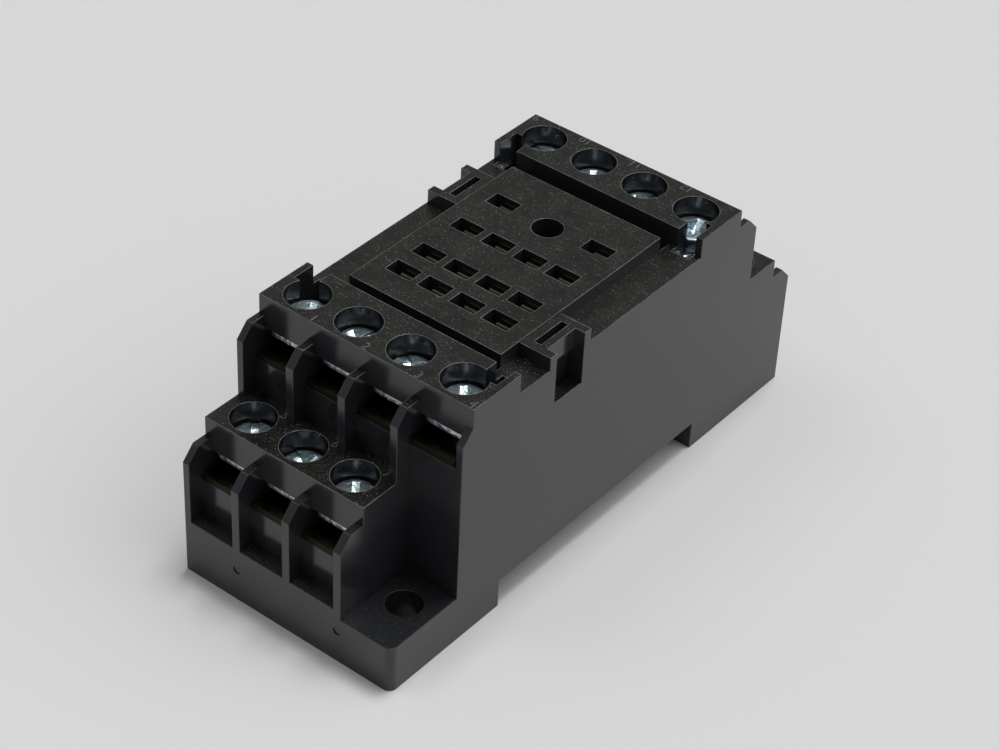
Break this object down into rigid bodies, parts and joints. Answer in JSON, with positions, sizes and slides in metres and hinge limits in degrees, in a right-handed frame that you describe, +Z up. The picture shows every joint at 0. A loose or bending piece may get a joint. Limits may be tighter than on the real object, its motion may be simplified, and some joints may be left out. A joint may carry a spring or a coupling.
{
  "type": "relay socket",
  "caption": "Front-mounting socket for a plug-in relay, with blade slots in a raised seat, two tiers of clamp screw terminals at each end and a sprung rail latch.",
  "frame": {"origin": "middle of the underside, in the plane the feet rest on", "axes": "+X across the socket, +Y along its length from the end with the contact terminals to the end with the rail latch, +Z up out of the relay seat"},
  "size_m": [0.0296, 0.072, 0.031],
  "materials": {
    "housing_plastic": "fine moulded texture",
    "cover_plastic": "moulded",
    "latch_plastic": "moulded",
    "contact_brass": "stamped",
    "screw_zinc": "bright zinc plate",
    "clamp_zinc": "bright zinc plate",
    "spring_steel": "drawn wire"
  },
  "bodies": {
    "housing": {"housing": "housing_plastic", "base_cover": "cover_plastic", "latch_spring": "spring_steel", "contact_1": "contact_brass", "contact_2": "contact_brass", "contact_3": "contact_brass", "contact_4": "contact_brass", "contact_5": "contact_brass", "contact_6": "contact_brass", "contact_7": "contact_brass", "contact_8": "contact_brass", "contact_9": "contact_brass", "contact_10": "contact_brass", "contact_11": "contact_brass", "contact_12": "contact_brass", "contact_13": "contact_brass", "contact_14": "contact_brass"},
    "latch": {"rail_latch": "latch_plastic"},
    "clamp_1": {"clamp_plate_1": "clamp_zinc"},
    "screw_1": {"terminal_screw_1": "screw_zinc"},
    "clamp_2": {"clamp_plate_2": "clamp_zinc"},
    "screw_2": {"terminal_screw_2": "screw_zinc"},
    "clamp_3": {"clamp_plate_3": "clamp_zinc"},
    "screw_3": {"terminal_screw_3": "screw_zinc"},
    "clamp_4": {"clamp_plate_4": "clamp_zinc"},
    "screw_4": {"terminal_screw_4": "screw_zinc"},
    "clamp_5": {"clamp_plate_5": "clamp_zinc"},
    "screw_5": {"terminal_screw_5": "screw_zinc"},
    "clamp_6": {"clamp_plate_6": "clamp_zinc"},
    "screw_6": {"terminal_screw_6": "screw_zinc"},
    "clamp_7": {"clamp_plate_7": "clamp_zinc"},
    "screw_7": {"terminal_screw_7": "screw_zinc"},
    "clamp_8": {"clamp_plate_8": "clamp_zinc"},
    "screw_8": {"terminal_screw_8": "screw_zinc"},
    "clamp_9": {"clamp_plate_9": "clamp_zinc"},
    "screw_9": {"terminal_screw_9": "screw_zinc"},
    "clamp_10": {"clamp_plate_10": "clamp_zinc"},
    "screw_10": {"terminal_screw_10": "screw_zinc"},
    "clamp_11": {"clamp_plate_11": "clamp_zinc"},
    "screw_11": {"terminal_screw_11": "screw_zinc"},
    "clamp_12": {"clamp_plate_12": "clamp_zinc"},
    "screw_12": {"terminal_screw_12": "screw_zinc"},
    "clamp_13": {"clamp_plate_13": "clamp_zinc"},
    "screw_13": {"terminal_screw_13": "screw_zinc"},
    "clamp_14": {"clamp_plate_14": "clamp_zinc"},
    "screw_14": {"terminal_screw_14": "screw_zinc"}
  },
  "joints": [
    {"name": "latch_slide", "type": "slide", "parent": "housing", "child": "latch", "axis": [0, 1, 0], "range_m": [0, 0.0025], "stiffness_N_per_m": 200, "springref_m": -0.004, "deforming": ["latch_spring"]},
    {"name": "clamp_slide_1", "type": "slide", "parent": "housing", "child": "clamp_1", "axis": [0, 0, -1], "range_m": [0, 0.0014]},
    {"name": "screw_turn_1", "type": "hinge", "parent": "clamp_1", "child": "screw_1", "pos_m": [-0.0108, -0.0204, 0.02675], "axis": [0, 0, -1], "range_deg": [0, 1008]},
    {"name": "clamp_slide_2", "type": "slide", "parent": "housing", "child": "clamp_2", "axis": [0, 0, -1], "range_m": [0, 0.0014]},
    {"name": "screw_turn_2", "type": "hinge", "parent": "clamp_2", "child": "screw_2", "pos_m": [-0.0036, -0.0204, 0.02675], "axis": [0, 0, -1], "range_deg": [0, 1008]},
    {"name": "clamp_slide_3", "type": "slide", "parent": "housing", "child": "clamp_3", "axis": [0, 0, -1], "range_m": [0, 0.0014]},
    {"name": "screw_turn_3", "type": "hinge", "parent": "clamp_3", "child": "screw_3", "pos_m": [0.0036, -0.0204, 0.02675], "axis": [0, 0, -1], "range_deg": [0, 1008]},
    {"name": "clamp_slide_4", "type": "slide", "parent": "housing", "child": "clamp_4", "axis": [0, 0, -1], "range_m": [0, 0.0014]},
    {"name": "screw_turn_4", "type": "hinge", "parent": "clamp_4", "child": "screw_4", "pos_m": [0.0108, -0.0204, 0.02675], "axis": [0, 0, -1], "range_deg": [0, 1008]},
    {"name": "clamp_slide_5", "type": "slide", "parent": "housing", "child": "clamp_5", "axis": [0, 0, -1], "range_m": [0, 0.0014]},
    {"name": "screw_turn_5", "type": "hinge", "parent": "clamp_5", "child": "screw_5", "pos_m": [-0.0108, -0.0291, 0.0152], "axis": [0, 0, -1], "range_deg": [0, 1008]},
    {"name": "clamp_slide_6", "type": "slide", "parent": "housing", "child": "clamp_6", "axis": [0, 0, -1], "range_m": [0, 0.0014]},
    {"name": "screw_turn_6", "type": "hinge", "parent": "clamp_6", "child": "screw_6", "pos_m": [-0.0036, -0.0291, 0.0152], "axis": [0, 0, -1], "range_deg": [0, 1008]},
    {"name": "clamp_slide_7", "type": "slide", "parent": "housing", "child": "clamp_7", "axis": [0, 0, -1], "range_m": [0, 0.0014]},
    {"name": "screw_turn_7", "type": "hinge", "parent": "clamp_7", "child": "screw_7", "pos_m": [0.0036, -0.0291, 0.0152], "axis": [0, 0, -1], "range_deg": [0, 1008]},
    {"name": "clamp_slide_8", "type": "slide", "parent": "housing", "child": "clamp_8", "axis": [0, 0, -1], "range_m": [0, 0.0014]},
    {"name": "screw_turn_8", "type": "hinge", "parent": "clamp_8", "child": "screw_8", "pos_m": [0.0108, 0.0291, 0.0152], "axis": [0, 0, -1], "range_deg": [0, 1008]},
    {"name": "clamp_slide_9", "type": "slide", "parent": "housing", "child": "clamp_9", "axis": [0, 0, -1], "range_m": [0, 0.0014]},
    {"name": "screw_turn_9", "type": "hinge", "parent": "clamp_9", "child": "screw_9", "pos_m": [-0.0108, 0.0204, 0.02675], "axis": [0, 0, -1], "range_deg": [0, 1008]},
    {"name": "clamp_slide_10", "type": "slide", "parent": "housing", "child": "clamp_10", "axis": [0, 0, -1], "range_m": [0, 0.0014]},
    {"name": "screw_turn_10", "type": "hinge", "parent": "clamp_10", "child": "screw_10", "pos_m": [-0.0036, 0.0204, 0.02675], "axis": [0, 0, -1], "range_deg": [0, 1008]},
    {"name": "clamp_slide_11", "type": "slide", "parent": "housing", "child": "clamp_11", "axis": [0, 0, -1], "range_m": [0, 0.0014]},
    {"name": "screw_turn_11", "type": "hinge", "parent": "clamp_11", "child": "screw_11", "pos_m": [0.0036, 0.0204, 0.02675], "axis": [0, 0, -1], "range_deg": [0, 1008]},
    {"name": "clamp_slide_12", "type": "slide", "parent": "housing", "child": "clamp_12", "axis": [0, 0, -1], "range_m": [0, 0.0014]},
    {"name": "screw_turn_12", "type": "hinge", "parent": "clamp_12", "child": "screw_12", "pos_m": [0.0108, 0.0204, 0.02675], "axis": [0, 0, -1], "range_deg": [0, 1008]},
    {"name": "clamp_slide_13", "type": "slide", "parent": "housing", "child": "clamp_13", "axis": [0, 0, -1], "range_m": [0, 0.0014]},
    {"name": "screw_turn_13", "type": "hinge", "parent": "clamp_13", "child": "screw_13", "pos_m": [-0.0036, 0.0291, 0.0152], "axis": [0, 0, -1], "range_deg": [0, 1008]},
    {"name": "clamp_slide_14", "type": "slide", "parent": "housing", "child": "clamp_14", "axis": [0, 0, -1], "range_m": [0, 0.0014]},
    {"name": "screw_turn_14", "type": "hinge", "parent": "clamp_14", "child": "screw_14", "pos_m": [0.0036, 0.0291, 0.0152], "axis": [0, 0, -1], "range_deg": [0, 1008]}
  ],
  "couplings": [
    {"joint": "screw_turn_1", "follows": "clamp_slide_1", "rad_per_m": 12566},
    {"joint": "screw_turn_2", "follows": "clamp_slide_2", "rad_per_m": 12566},
    {"joint": "screw_turn_3", "follows": "clamp_slide_3", "rad_per_m": 12566},
    {"joint": "screw_turn_4", "follows": "clamp_slide_4", "rad_per_m": 12566},
    {"joint": "screw_turn_5", "follows": "clamp_slide_5", "rad_per_m": 12566},
    {"joint": "screw_turn_6", "follows": "clamp_slide_6", "rad_per_m": 12566},
    {"joint": "screw_turn_7", "follows": "clamp_slide_7", "rad_per_m": 12566},
    {"joint": "screw_turn_8", "follows": "clamp_slide_8", "rad_per_m": 12566},
    {"joint": "screw_turn_9", "follows": "clamp_slide_9", "rad_per_m": 12566},
    {"joint": "screw_turn_10", "follows": "clamp_slide_10", "rad_per_m": 12566},
    {"joint": "screw_turn_11", "follows": "clamp_slide_11", "rad_per_m": 12566},
    {"joint": "screw_turn_12", "follows": "clamp_slide_12", "rad_per_m": 12566},
    {"joint": "screw_turn_13", "follows": "clamp_slide_13", "rad_per_m": 12566},
    {"joint": "screw_turn_14", "follows": "clamp_slide_14", "rad_per_m": 12566}
  ]
}
